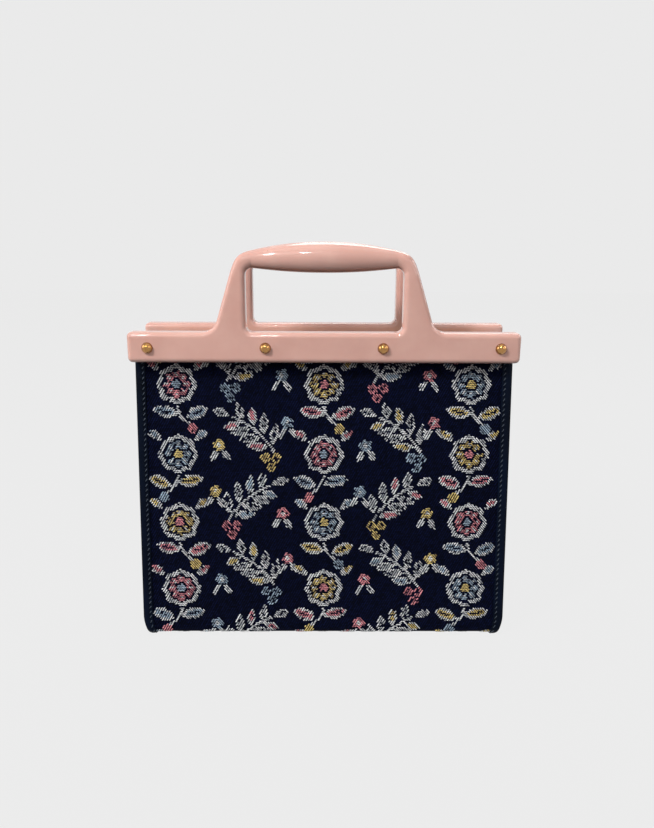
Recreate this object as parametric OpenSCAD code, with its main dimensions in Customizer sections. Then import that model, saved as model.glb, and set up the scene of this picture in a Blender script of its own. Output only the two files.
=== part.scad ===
// Top-handle tote bag. Two moulded handle frames clamp the upper edges of a woven body,
// which runs in one piece down the front, under the base and up the back.
// Leather gussets close the sides. Millimetres, +Z up, origin under the middle of the base.

/* [Frames] */
// How far each end of a frame's bar stands out past the body
bar_overhang = 2.2; // [0:0.2:8]
// Height of the bar
bar_h = 20; // [16:0.5:28]
// Thickness of the bar, front to back
bar_t = 13; // [10:0.5:18]
// Radius that rounds the bar's edges and the handle's uprights
edge_r = 3.2; // [1.5:0.1:4.5]
// Height of the bar's lower edge above the floor
bar_z = 195; // [150:1:240]
// Distance between the middle planes of the two frames
frame_pitch = 50; // [46:1:70]

/* [Handles] */
// Width of the hand opening
opening_w = 102.5; // [85:0.5:120]
// Height of the hand opening at its ends
opening_h = 41.2; // [32:0.2:55]
// Radius of the opening's upper corners
opening_r = 4.5; // [2:0.5:9]
// Width over the handle's feet, where they meet the bar
foot_w = 145; // [134:1:170]
// Width over the handle's shoulders
shoulder_w = 122.4; // [116:0.2:140]
// Fillet outside each foot
foot_r = 7; // [3:0.5:12]
// Fillet inside each foot
foot_inner_r = 4; // [2:0.5:8]
// Diameter of the grip at its middle
grip_d = 19; // [15:0.5:24]
// Diameter of the grip at its ends
grip_end_d = 11.2; // [10:0.2:15]
// How far the grip's axis rises towards its middle
grip_rise = 0.9; // [0:0.1:4]

/* [Studs] */
// Studs along each bar
stud_count = 4; // [2:1:6]
// Distance from the bar's end to its first stud
stud_inset = 13.4; // [9:0.1:25]
// Diameter of a stud's domed head
stud_d = 7.6; // [5:0.1:10]
// Rise of the domed head above the bar
stud_rise = 3.3; // [2:0.1:3.8]
// Diameter of a stud's post
post_d = 4; // [3:0.1:5]
// Diameter of the screw that holds a stud from inside
screw_d = 2.4; // [1.6:0.1:2.6]
// Diameter of that screw's flat head
screw_head_d = 6.4; // [5:0.1:8]
// Thickness of that screw's flat head
screw_head_t = 1.2; // [0.9:0.1:2]

/* [Body] */
// Width of the body over its stitched edges
body_w = 254; // [226:1:316]
// Depth of the body at the base
base_d = 81; // [66:1:120]
// Radius of the bends between the base and the two sides
bend_r = 5; // [4:0.5:14]
// Thickness of the woven cloth with its backing
cloth_t = 1.2; // [0.8:0.1:2]
// How far each side edge draws in on its way under the base
draw_in = 5; // [2:0.5:9]
// Height over which the side edge draws in
draw_h = 16; // [10:1:30]

/* [Leather] */
// Thickness of the leather
leather_t = 1.2; // [0.8:0.1:1.6]
// Width of the edge strip that is stitched over the cloth
strip_w = 6.6; // [5:0.2:12]
// Width of the gusset's flange, behind the cloth
flange_w = 5; // [3:0.2:8]
// How far the gusset folds inwards at the mouth
fold_in = 26; // [10:1:32]
// Height at which the fold begins
fold_z = 30; // [20:1:80]
// How far the gusset's upper edge dips in the middle
mouth_dip = 6; // [0:0.5:12]

/* [Inside] */
// Thickness of the lining
lining_t = 0.6; // [0.4:0.1:1]
// Thickness of the board that stiffens the base
board_t = 2; // [1:0.5:4]
// Thickness of the clamp bar behind the cloth
clamp_t = 2.2; // [1.6:0.1:3]
// Height of the clamp bar
clamp_h = 9; // [8:0.5:14]

/* [Woven design] */
// How far the coloured floats stand above the cloth
float_t = 0.4; // [0.2:0.1:0.8]
// Distance between columns of the repeat
column_pitch = 50; // [48:1:64]
// Distance between rows of the repeat
row_pitch = 48; // [47:1:60]
// Diameter of a blossom's outer ring
blossom_d = 27; // [22:0.5:28]
// Length of a blossom's leaves
leaf_l = 18; // [12:0.5:18.5]
// Width of a blossom's leaves
leaf_w = 8.4; // [5:0.2:9]
// Width of the leaves on a sprig
sprig_leaf_w = 6; // [4:0.2:6.4]

/* [Hidden] */
$fn = 48;

// Gap between parts that are pushed together and drawn apart by hand
ease = 0.1;
// Gap beside edges that are free to move
slack = 0.5;
// How far the handle's flat faces lie behind those of the bar
sunk = 0.15;

// Colours
rose_resin = [0.81, 0.63, 0.57];
brass = [0.80, 0.60, 0.25];
navy_cloth = [0.05, 0.05, 0.11];
navy_leather = [0.07, 0.10, 0.14];
ivory_yarn = [0.78, 0.79, 0.77];
gold_yarn = [0.78, 0.64, 0.27];
rose_yarn = [0.80, 0.38, 0.42];
slate_yarn = [0.33, 0.44, 0.53];
lining_cloth = [0.16, 0.17, 0.22];
board_grey = [0.55, 0.52, 0.47];

// Levels and planes that the pieces share
bar_top = bar_z + bar_h;
stud_z = bar_z + bar_h / 2;
cloth_y = (frame_pitch - bar_t) / 2;
front_y = cloth_y + bar_t;
base_z = leather_t;
clamp_y = cloth_y - cloth_t - lining_t;
clamp_face_y = clamp_y - clamp_t;
panel_tilt = atan((base_d / 2 - cloth_y) / (bar_z - base_z));
cloth_top = stud_z + clamp_h / 2;
gusset_top = bar_z - slack;
wall_x = body_w / 2 - flange_w;
bar_w = body_w + 2 * bar_overhang;
stud_span = bar_w - 2 * stud_inset;
stud_xs = [for (i = [0 : stud_count - 1]) stud_span * (i / (stud_count - 1) - 0.5)];

// The body's outline in the side view.
// out is a distance outwards from the cloth's outer face, and lift raises the base.
function bend_centre(lift) =
    let (z = base_z + lift + bend_r,
         run = (bar_z - bend_r * sin(panel_tilt) - z) / cos(panel_tilt))
    [cloth_y + run * sin(panel_tilt) - bend_r * cos(panel_tilt), z];

// Half the outline, from its top down to the bend's lower end, as corner points
function half_outline(out, lift, top) =
    let (c = bend_centre(lift), r = bend_r + out)
    [[cloth_y + out, top],
     [cloth_y + out, bar_z + out * tan(panel_tilt / 2)],
     [c[0] + r * cos(panel_tilt), c[1] + r * sin(panel_tilt)],
     [c[0], c[1] - r]];

module side_outline(out, lift, top) {
    half = half_outline(out, lift, top);
    c = bend_centre(lift);
    last = len(half) - 1;
    polygon([for (p = half) [-p[0], p[1]], for (i = [last : -1 : 0]) half[i]]);
    for (s = [-1, 1])
        translate([s * c[0], c[1]]) circle(bend_r + out);
}

// A sheet that follows the side outline, between two distances from the cloth's outer face
module sheet_outline(outer, inner, lift, top) {
    spare = 1;
    difference() {
        side_outline(outer, lift, top);
        side_outline(inner, lift, top + spare);
    }
}

// Side views are drawn across X, and front views along Y
module across(w) rotate([90, 0, 90]) linear_extrude(w, center = true) children();
module along(d) rotate([90, 0, 0]) linear_extrude(d, center = true) children();

// Front view of the body: straight side edges that draw in on an arc near the floor
function draw_r(reach) = (draw_h * draw_h + reach * reach) / (2 * reach);
function edge_x(half_w, reach, z) =
    z >= draw_h ? half_w
    : half_w - draw_r(reach) + sqrt(pow(draw_r(reach), 2) - pow(draw_h - z, 2));

module front_outline(half_w, reach) {
    steps = 8;
    below = -1;
    side = [for (i = [0 : steps]) let (z = blend(below, draw_h, i / steps)) [edge_x(half_w, reach, z), z]];
    top = bar_top + bar_h;
    polygon(concat(side, [[half_w, top], [-half_w, top]],
                   [for (i = [steps : -1 : 0]) [-side[i][0], side[i][1]]]));
}

// How full the grip's barrel is: 2 gives a round curve, and more gives a flatter middle
fullness = 2.1;

// Sections of the handle, each from a point on the opening's edge to one on its outer edge.
// Heights are measured from the bar's upper edge.
function blend(a, b, t) = a + (b - a) * t;
function fillet(r, h) = h >= r ? 0 : h <= 0 ? r : r - sqrt(r * r - pow(r - h, 2));
function swell(x) = 1 - pow(abs(x) / (opening_w / 2 - opening_r), fullness);
function grip_r(x) = blend(grip_end_d, grip_d, swell(x)) / 2;

function upright_section(h) = let (rise = opening_h - opening_r)
    [[opening_w / 2 - fillet(foot_inner_r, h), h],
     [foot_w / 2 - (foot_w - shoulder_w) / 2 * max(h, 0) / rise + fillet(foot_r, h), h],
     bar_t / 2 - sunk, edge_r];

// From the opening's corner to the handle's outer edge: the upright's lean and the grip's curve
// both run on, and meet in a round shoulder
function shoulder_reach(turn, c) =
    let (lean = (foot_w - shoulder_w) / 2 / c[1],
         fall = (grip_d - grip_end_d + 2 * grip_rise) / 2 * fullness / c[0],
         side = (shoulder_w / 2 - c[0]) / (cos(turn) + lean * sin(turn)),
         top = (opening_r + grip_end_d) / (sin(turn) + fall * cos(turn)))
    pow(pow(side, -8) + pow(top, -8), -1 / 8);

function corner_section(turn) =
    let (c = [opening_w / 2 - opening_r, opening_h - opening_r],
         dir = [cos(turn), sin(turn)],
         t = turn / 90,
         reach = shoulder_reach(turn, c),
         half_t = blend(bar_t / 2 - sunk, grip_end_d / 2, t))
    [c + opening_r * dir, c + reach * dir, half_t,
     min(blend(edge_r, grip_end_d / 2, t), half_t) * 0.98];

function grip_section(x) = let (r = grip_r(x), axis = opening_h + grip_end_d / 2 + grip_rise * swell(x))
    [[x, axis - r], [x, axis + r], r, r * 0.98];

// Heights of the upright's sections: closely spaced up the fillets, then wider
function upright_levels() =
    let (f = max(foot_r, foot_inner_r))
    concat([-bar_h * 0.6], [for (i = [0 : 5]) f * pow(i / 5, 1.6)],
           [for (i = [1 : 3]) blend(f, opening_h - opening_r, i / 4)]);

function mirrored(s) = [[-s[0][0], s[0][1]], [-s[1][0], s[1][1]], s[2], s[3]];

function handle_sections() =
    let (end = opening_w / 2 - opening_r, steps = 8,
         right = concat([for (h = upright_levels()) upright_section(h)],
                        [for (turn = [0 : 15 : 75]) corner_section(turn)],
                        [for (i = [0 : steps - 1]) grip_section(end * (1 - i / steps))]),
         n = len(right))
    concat(right, [grip_section(0)], [for (i = [n - 1 : -1 : 0]) mirrored(right[i])]);

// One ring of points: a rectangle with round corners, laid across the handle
function ring_points(s, per_corner = 6) =
    let (mid = (s[0] + s[1]) / 2, span = s[1] - s[0], half_w = norm(span) / 2,
         dir = span / norm(span), r = min(s[3], half_w * 0.98))
    [for (q = [0 : 3], i = [0 : per_corner - 1])
        let (a = 90 * (q + i / (per_corner - 1)),
             u = (q == 0 || q == 3 ? 1 : -1) * (half_w - r) + r * cos(a),
             v = (q < 2 ? 1 : -1) * (s[2] - r) + r * sin(a))
        [mid[0] + dir[0] * u, v, mid[1] + dir[1] * u]];

// A closed solid through a row of sections
module swept(sections) {
    rings = [for (s = sections) ring_points(s)];
    n = len(rings);
    m = len(rings[0]);
    polyhedron([for (r = rings) each r],
        concat([[for (j = [0 : m - 1]) j]],
               [for (k = [0 : n - 2], j = [0 : m - 1])
                   let (a = k * m + j, b = k * m + (j + 1) % m) each
                   [[a, a + m, b], [b, a + m, b + m]]],
               [[for (j = [m - 1 : -1 : 0]) (n - 1) * m + j]]));
}

module handle() swept(handle_sections());

// Sections of the bar from its right end to its left, smaller where the ends round off.
// turn goes from the bar's straight part, at 0, almost to its end face.
end_turn = 84;
function bar_section(turn) =
    let (in = edge_r * (1 - cos(turn)),
         x = bar_w / 2 - edge_r * (1 - sin(turn) / sin(end_turn)))
    [[x, in - bar_h / 2], [x, bar_h / 2 - in], bar_t / 2 - in, edge_r - in];

function bar_sections() =
    let (right = [for (i = [0 : 4]) bar_section(end_turn * (1 - i / 4))])
    concat(right, [for (i = [4 : -1 : 0]) mirrored(right[i])]);

module bar() swept(bar_sections());

module stud_holes(d, from_y, to_y)
    for (x = stud_xs)
        translate([x, from_y, stud_z]) rotate([-90, 0, 0]) cylinder(d = d, h = to_y - from_y);

// Moulded in one piece: the bar and the handle that rises from it
module handle_frame() color(rose_resin) difference() {
    translate([0, -frame_pitch / 2, 0]) {
        translate([0, 0, stud_z]) bar();
        translate([0, 0, bar_top]) handle();
    }
    stud_holes(post_d + 2 * ease, -front_y - 1, -cloth_y + 1);
}

// Domed stud: a turned head with a post that is tapped for the inside screw
module studs() color(brass) {
    dome_r = (pow(stud_d / 2, 2) + stud_rise * stud_rise) / (2 * stud_rise);
    post_l = front_y - clamp_face_y - slack;
    for (x = stud_xs)
        translate([x, -front_y, stud_z]) rotate([-90, 0, 0])
            rotate_extrude() difference() {
                union() {
                    intersection() {
                        translate([0, dome_r - stud_rise]) circle(dome_r);
                        translate([0, -stud_rise]) square([stud_d, stud_rise]);
                    }
                    square([post_d / 2, post_l]);
                }
                translate([-stud_d, -stud_rise]) square([stud_d, 2 * stud_rise + post_l]);
                translate([0, post_l / 4]) square([screw_d / 2 + ease / 2, post_l]);
            }
}

module stud_screws() color(brass) {
    shank_l = (front_y - clamp_face_y) / 2;
    slot_w = screw_head_d / 8;
    for (x = stud_xs)
        translate([x, -clamp_face_y, stud_z]) rotate([-90, 0, 0]) difference() {
            union() {
                cylinder(d = screw_head_d, h = screw_head_t);
                translate([0, 0, -shank_l]) cylinder(d = screw_d, h = shank_l);
            }
            translate([-screw_head_d, -slot_w / 2, screw_head_t / 2])
                cube([2 * screw_head_d, slot_w, screw_head_t]);
        }
}

// Flat bar with round ends that presses the cloth and the lining against the frame
module clamp_bar() color(brass) difference() {
    translate([0, -clamp_face_y - clamp_t / 2, stud_z]) along(clamp_t) {
        square([stud_span, clamp_h], center = true);
        for (s = [-1, 1])
            translate([s * stud_span / 2, 0]) intersection() {
                circle(d = clamp_h);
                square([screw_head_d + 2 * slack, clamp_h], center = true);
            }
    }
    stud_holes(post_d + 2 * ease, -clamp_y - 1, -clamp_face_y + 1);
}

// One length of jacquard: front, base and back
module jacquard_body() color(navy_cloth) difference() {
    intersection() {
        across(body_w) sheet_outline(0, -cloth_t, 0, cloth_top);
        along(2 * base_d) front_outline(body_w / 2, draw_in);
    }
    stud_holes(post_d + 2 * ease, -front_y, front_y);
}

// Leather strip over the cloth's cut edge, stitched through cloth and gusset
module edge_strip() color(navy_leather) intersection() {
    across(2 * body_w) sheet_outline(leather_t, 0, 0, bar_z - slack);
    along(2 * base_d) intersection() {
        difference() {
            front_outline(body_w / 2, draw_in);
            front_outline(body_w / 2 - strip_w, draw_in / 2);
        }
        translate([0, -1]) square([body_w, bar_top]);
    }
}

// Side panel with its flange, as two grids of points one leather thickness apart.
// inset is how far a grid lies inside the cloth's outer face.
gusset_cols = 18;
gusset_bend_rows = 5;
gusset_rows = 14;

function gusset_levels(inset) =
    let (c = bend_centre(0), r = bend_r - inset)
    concat([for (i = [0 : gusset_bend_rows - 1])
               c[1] - r * cos((90 + panel_tilt) * i / gusset_bend_rows)],
           [for (i = [0 : gusset_rows])
               blend(c[1] + r * sin(panel_tilt), gusset_top, i / gusset_rows)]);

// Half the depth between the flanges at a height
function half_depth(inset, z) =
    let (c = bend_centre(0), r = bend_r - inset)
    z < c[1] + r * sin(panel_tilt) ? c[0] + sqrt(max(0, r * r - pow(c[1] - z, 2)))
    : cloth_y - inset / cos(panel_tilt) + (bar_z - z) * tan(panel_tilt);

function fold_at(z) = z <= fold_z ? 0
    : fold_in * pow(sin(90 * (z - fold_z) / (gusset_top - fold_z)), 1.5);

function gusset_row(inset, back, z, top_row) =
    [for (j = [0 : gusset_cols])
        let (u = 2 * j / gusset_cols - 1,
             crease = pow(cos(90 * u), 2),
             dip = top_row ? mouth_dip * crease : 0)
        [edge_x(wall_x, draw_in, z) - back - fold_at(z) * crease,
         half_depth(inset, z) * u, z - dip]];

// The path along the flange: down the front edge, along the base and up the back edge
function flange_path(grid) =
    let (top = len(grid) - 1, last = len(grid[0]) - 1)
    concat([for (i = [top : -1 : 0]) grid[i][0]],
           [for (j = [1 : last]) grid[0][j]],
           [for (i = [1 : top]) grid[i][last]]);

function gusset_grid(inset, back) =
    let (levels = gusset_levels(inset))
    [for (i = [0 : len(levels) - 1])
        gusset_row(inset, back, levels[i], i == len(levels) - 1)];

// The flange's free edge, level with the cloth's cut edge
function flange_rim(p) = [edge_x(body_w / 2, draw_in, p[2]), p[1], p[2]];

// Grid index of point k on the flange's path
function path_index(k, rows, cols) =
    k < rows ? (rows - 1 - k) * cols
    : k < rows + cols - 1 ? k - rows + 1
    : (k - rows - cols + 2) * cols + cols - 1;

function quad(a, b, c, d) = [[a, b, c], [a, c, d]];

module gusset() color(navy_leather) {
    inner = gusset_grid(cloth_t, leather_t);
    outer = gusset_grid(cloth_t + leather_t, 0);
    rows = len(inner);
    cols = len(inner[0]);
    size = rows * cols;
    path_i = flange_path(inner);
    path_o = flange_path(outer);
    last = len(path_i) - 1;
    rim_i = 2 * size;
    rim_o = 2 * size + last + 1;
    first_p = path_index(0, rows, cols);
    last_p = path_index(last, rows, cols);
    polyhedron(
        concat([for (r = inner) each r], [for (r = outer) each r],
               [for (p = path_i) flange_rim(p)], [for (p = path_o) flange_rim(p)]),
        concat(
            [for (i = [0 : rows - 2], j = [0 : cols - 2])
                let (a = i * cols + j) each concat(
                    quad(a, a + 1, a + cols + 1, a + cols),
                    quad(size + a, size + a + cols, size + a + cols + 1, size + a + 1))],
            [for (k = [0 : last - 1])
                let (a = path_index(k, rows, cols), b = path_index(k + 1, rows, cols)) each concat(
                    quad(a, rim_i + k, rim_i + k + 1, b),
                    quad(size + a, size + b, rim_o + k + 1, rim_o + k),
                    quad(rim_i + k, rim_o + k, rim_o + k + 1, rim_i + k + 1))],
            [for (j = [0 : cols - 2])
                let (a = (rows - 1) * cols + j) each
                quad(a, a + 1, size + a + 1, size + a)],
            quad(first_p, size + first_p, rim_o, rim_i),
            quad(last_p, rim_i + last, rim_o + last, size + last_p)));
}

// Loose sheet of lining inside the cloth, over the base board
module lining() color(lining_cloth) difference() {
    intersection() {
        across(body_w) sheet_outline(-cloth_t, -cloth_t - lining_t, board_t, cloth_top);
        along(2 * base_d) front_outline(wall_x - leather_t - slack, draw_in);
    }
    stud_holes(post_d + 2 * ease, -front_y, front_y);
}

module base_board() color(board_grey) {
    half_d = bend_centre(0)[0];
    half_w = edge_x(wall_x, draw_in, base_z + cloth_t) - leather_t - slack;
    translate([-half_w, -half_d, base_z + cloth_t]) cube([2 * half_w, 2 * half_d, board_t]);
}

// Woven design: blossoms in every other column, and leaf sprigs half a row lower between them.
// It is drawn flat, with X across the panel and Y up it from the bar's lower edge.
panel_l = (bar_z - bend_centre(0)[1]) / cos(panel_tilt) - bend_r * tan(panel_tilt);
side_columns = ceil((body_w / 2 - column_pitch / 2) / column_pitch);
rows_shown = ceil(panel_l / row_pitch) + 1;
tints = 3;

function is_blossom(c) = c % 2 == 0;
function wrap(i) = (i % tints + tints) % tints;
function motif_place(c, r) =
    [c * column_pitch, -row_pitch * (r + (is_blossom(c) ? 0.45 : -0.05))];

// Simple outlines. shade picks a motif's ivory (0), its main tint (1) or its second tint (2).
module disc(r) {
    n = 8;
    polygon([for (i = [0 : n - 1]) r * [cos(360 * i / n), sin(360 * i / n)]]);
}

// Almond leaf along +X from the origin
module leaf(l, w) {
    n = 3;
    side = [for (i = [0 : n]) [l * i / n, w / 2 * pow(sin(180 * i / n), 0.8)]];
    polygon(concat(side, [for (i = [n - 1 : -1 : 1]) [side[i][0], -side[i][1]]]));
}

// A leaf is an ivory rim round a core of the second tint
module two_tone_leaf(l, w, shade) {
    if (shade == 0) difference() {
        leaf(l, w);
        translate([l * 0.22, 0]) leaf(l * 0.58, w * 0.5);
    }
    if (shade == 2) translate([l * 0.22, 0]) leaf(l * 0.58, w * 0.5);
}

// Band along an arc of radius r about the origin
module arc_band(r, w, from, to) {
    n = 3;
    turns = [for (i = [0 : n]) blend(from, to, i / n)];
    polygon(concat([for (t = turns) (r + w / 2) * [cos(t), sin(t)]],
                   [for (i = [n : -1 : 0]) (r - w / 2) * [cos(turns[i]), sin(turns[i])]]));
}

// Scalloped blossom on a bent stem, with two leaves and a bud
ring_w = 2.5;
petals = 8;
head_y = 5;
heart_r = 3;
stem_w = 1.9;
stem_r = 16;
stem_top = -8;
bud_r = 3.6;

module scallop(out) {
    n = 2 * petals;
    polygon([for (i = [0 : n - 1]) let (a = 360 * i / n)
        (blossom_d / 2 - out - ring_w / 2 * (1 - abs(cos(petals / 2 * a)))) * [cos(a), sin(a)]]);
}

module blossom_head(shade) {
    if (shade == 0) difference() {
        scallop(0);
        scallop(ring_w);
    }
    if (shade == 1) {
        petal_end = blossom_d / 2 - ring_w - 1.1;
        for (i = [0 : petals - 1])
            rotate(360 * i / petals) translate([heart_r + 1.2, 0])
                leaf(petal_end - heart_r - 1.2, ring_w * 1.6);
    }
    if (shade == 2) disc(heart_r);
}

function stem_place(turn, r) = [stem_r, stem_top] + r * [cos(turn), sin(turn)];

module blossom(shade) {
    stem_turns = [186, 238];
    translate([0, head_y]) blossom_head(shade);
    if (shade == 0) translate([stem_r, stem_top])
        arc_band(stem_r, stem_w, stem_turns[0], stem_turns[1]);
    for (side = [[206, stem_r + 1.7, 168], [220, stem_r - 2.2, 22]])
        translate(stem_place(side[0], side[1])) rotate(side[2]) two_tone_leaf(leaf_l, leaf_w, shade);
    bud_turn = stem_turns[1] + (bud_r + 0.6) / stem_r * 180 / PI;
    if (shade == 1) translate(stem_place(bud_turn, stem_r)) disc(bud_r);
}

// Sprig: a bowed stem with leaves on both sides, berries under its foot and two florets beside it
sprig_turn = 36;
sprig_bow = 60;
sprig_lean = 48;
berry_r = 3.3;
// Each leaf's place along the stem, its side and its length
sprig_leaves = [for (leaf = [[-19, 15], [-10, 15], [-1, 13.5], [8, 11.5]], side = [1, -1])
                    [leaf[0], side, leaf[1]],
                [16.5, 0, 12]];

module on_sprig(at, side) {
    turn = at / sprig_bow * 180 / PI;
    translate([0, -sprig_bow]) rotate(-turn)
        translate([0, sprig_bow + 1.5 * side]) rotate(sprig_lean * side) children();
}

module sprig(shade) {
    if (shade == 0) translate([0, -sprig_bow])
        arc_band(sprig_bow, stem_w, 90 + 24 / sprig_bow * 180 / PI, 90 - 15 / sprig_bow * 180 / PI);
    for (i = [0 : len(sprig_leaves) - 1]) let (s = sprig_leaves[i])
        on_sprig(s[0], s[1])
            if (i % 3 == 1) two_tone_leaf(s[2], sprig_leaf_w, shade);
            else if (shade == 0) leaf(s[2], sprig_leaf_w);
    if (shade == 1)
        for (p = [[-26.5, -7.5], [-20.5, -11.5], [-27.5, -14.5]]) translate(p) disc(berry_r);
}

module floret() {
    n = 10;
    polygon([for (i = [0 : n - 1]) let (a = 360 * i / n)
        4.6 * (0.66 + 0.34 * abs(cos(2.5 * a))) * [cos(a), sin(a)]]);
}

// The shade of a motif that one yarn weaves, or -1. Yarn 0 is the ivory, and 1 to 3 the tints.
function shade_of(yarn, first) =
    yarn == 0 ? 0 : yarn - 1 == wrap(first) ? 1 : yarn - 1 == wrap(first + 1) ? 2 : -1;

module woven(yarn) {
    clip_w = body_w - 2 * strip_w - 2 * slack;
    intersection() {
        translate([-clip_w / 2, -panel_l]) square([clip_w, panel_l - slack]);
        union() for (c = [-side_columns : side_columns], r = [0 : rows_shown - 1])
            translate(motif_place(c, r)) mirror([r % 2, 0]) {
                if (is_blossom(c)) blossom(shade_of(yarn, r + c));
                else {
                    rotate(sprig_turn) sprig(shade_of(yarn, r + c));
                    if (yarn - 1 == wrap(r + c + 2)) translate([-25, 3]) floret();
                    if (yarn - 1 == wrap(r + c)) translate([21.5, -12.5]) floret();
                }
            }
    }
}

module floats(yarn) both_sides()
    translate([0, -cloth_y, bar_z]) rotate([90 - panel_tilt, 0, 0])
        linear_extrude(float_t) woven(yarn);

module both_sides() for (turn = [0, 180]) rotate(turn) children();
module on_back() rotate(180) children();
module on_left() mirror([1, 0, 0]) children();

handle_frame();  // front_frame
on_back() handle_frame();  // back_frame
studs();  // front_studs
on_back() studs();  // back_studs
stud_screws();  // front_stud_screws
on_back() stud_screws();  // back_stud_screws
clamp_bar();  // front_clamp_bar
on_back() clamp_bar();  // back_clamp_bar
jacquard_body();
on_left() gusset();  // left_gusset
gusset();  // right_gusset
on_left() edge_strip();  // left_edge_strip
edge_strip();  // right_edge_strip
lining();
base_board();
color(ivory_yarn) floats(0);  // ivory_floats
color(gold_yarn) floats(1);  // gold_floats
color(rose_yarn) floats(2);  // rose_floats
color(slate_yarn) floats(3);  // slate_floats
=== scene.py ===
import math

import bpy
import numpy as np
from mathutils import Matrix


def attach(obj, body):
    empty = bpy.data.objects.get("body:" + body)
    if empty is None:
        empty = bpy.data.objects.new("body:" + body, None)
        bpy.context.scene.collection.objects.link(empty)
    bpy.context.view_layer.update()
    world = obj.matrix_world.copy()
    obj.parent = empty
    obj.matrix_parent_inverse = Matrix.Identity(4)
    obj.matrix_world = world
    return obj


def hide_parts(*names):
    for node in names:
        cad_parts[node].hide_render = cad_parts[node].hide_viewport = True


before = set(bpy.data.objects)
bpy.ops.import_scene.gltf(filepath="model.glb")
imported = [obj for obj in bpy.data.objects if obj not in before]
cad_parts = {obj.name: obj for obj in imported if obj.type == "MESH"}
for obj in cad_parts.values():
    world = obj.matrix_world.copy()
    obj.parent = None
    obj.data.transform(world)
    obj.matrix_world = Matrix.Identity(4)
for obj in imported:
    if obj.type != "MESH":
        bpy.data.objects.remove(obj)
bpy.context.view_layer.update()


# Studio
# A pale paper floor under soft lamps, with the key lamp high on the left in front. What the
# camera sees of the paper, also in polished faces, is the paper's own pale grey, so that
# floor and background run together.

TONE_A, TONE_B, MIXED = 6, 7, 2  # sockets of a colour mix: its two colours and its result


def linear(colour):
    """An sRGB hex colour as linear RGBA."""
    parts = [int(colour[i:i + 2], 16) / 255 for i in (1, 3, 5)]
    return tuple(v / 12.92 if v <= 0.04045 else ((v + 0.055) / 1.055) ** 2.4
                 for v in parts) + (1.0,)


def add(tree, kind, values=None, links=None, **settings):
    """A new node with its settings, its fixed sockets and its linked sockets."""
    node = tree.nodes.new(kind)
    for key, value in settings.items():
        setattr(node, key, value)
    for key, value in (values or {}).items():
        node.inputs[key].default_value = value
    for key, source in (links or {}).items():
        tree.links.new(source, node.inputs[key])
    return node


def new_material(name, values):
    """A material with fixed values on its face, and a socket of places on the piece in metres."""
    material = bpy.data.materials.new(name)
    material.use_nodes = True
    tree = material.node_tree
    face = tree.nodes["Principled BSDF"]
    for key, value in values.items():
        face.inputs[key].default_value = value
    return material, tree, face, add(tree, "ShaderNodeTexCoord").outputs["Object"]


def seen_rays(tree):
    """A socket that is 1 for the camera's rays, also where a face mirrors them or lets them by."""
    rays = add(tree, "ShaderNodeLightPath")
    through = add(tree, "ShaderNodeMath", operation="MAXIMUM",
                  links={0: rays.outputs["Is Glossy Ray"], 1: rays.outputs["Is Transmission Ray"]})
    seen = add(tree, "ShaderNodeMath", operation="MAXIMUM",
               links={0: rays.outputs["Is Camera Ray"], 1: through.outputs[0]})
    return seen.outputs[0]


PALE_GREY = "#eaeaea"
FLOOR_HALF = 3.0
OVAL, NEAR, FAR = (0.32, 1, 1), 0.055, 0.12  # the bag's footprint, in metres of its depth

paper, tree, face, place = new_material("matt_paper", {"Roughness": 1.0})
# Only the paper close round the bag throws light back on it, so that undersides stay dark
oval = add(tree, "ShaderNodeVectorMath", operation="MULTIPLY", values={1: OVAL}, links={0: place})
away = add(tree, "ShaderNodeVectorMath", operation="LENGTH", links={0: oval.outputs[0]})
close = add(tree, "ShaderNodeMapRange", interpolation_type="SMOOTHSTEP",
            values={"From Min": NEAR, "From Max": FAR, "To Min": 1.0, "To Max": 0.0},
            links={"Value": away.outputs["Value"]})
tone = add(tree, "ShaderNodeMix", data_type="RGBA", links={0: close.outputs[0]},
           values={TONE_A: linear("#303030"), TONE_B: linear("#8c8c8c")})
tree.links.new(tone.outputs[MIXED], face.inputs["Base Color"])
# The seen grey glows by itself and takes a very faint shadow
shade = add(tree, "ShaderNodeBsdfDiffuse", values={"Color": linear("#212121")})
glow = add(tree, "ShaderNodeEmission", values={"Color": linear(PALE_GREY), "Strength": 0.992})
pale = add(tree, "ShaderNodeAddShader", links={0: shade.outputs[0], 1: glow.outputs[0]})
both = add(tree, "ShaderNodeMixShader",
           links={0: seen_rays(tree), 1: face.outputs[0], 2: pale.outputs[0]})
tree.links.new(both.outputs[0], tree.nodes["Material Output"].inputs["Surface"])

scene = bpy.context.scene
scene.view_settings.view_transform = "Standard"

floor_mesh = bpy.data.meshes.new("paper_floor")
floor_mesh.from_pydata([(-FLOOR_HALF, -FLOOR_HALF, 0), (FLOOR_HALF, -FLOOR_HALF, 0),
                        (FLOOR_HALF, FLOOR_HALF, 0), (-FLOOR_HALF, FLOOR_HALF, 0)],
                       [], [(0, 1, 2, 3)])
floor_mesh.materials.append(paper)
floor = bpy.data.objects.new("paper_floor", floor_mesh)
scene.collection.objects.link(floor)

world = bpy.data.worlds.new("studio")
scene.world = world
world.use_nodes = True
tree = world.node_tree
sky = tree.nodes["Background"]
sky.inputs["Color"].default_value = linear("#e9ecf0")
sky.inputs["Strength"].default_value = 0.08
seen_sky = add(tree, "ShaderNodeBackground",
               values={"Color": linear(PALE_GREY), "Strength": 1.0})
both = add(tree, "ShaderNodeMixShader",
           links={0: seen_rays(tree), 1: sky.outputs[0], 2: seen_sky.outputs[0]})
tree.links.new(both.outputs[0], tree.nodes["World Output"].inputs["Surface"])


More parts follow.
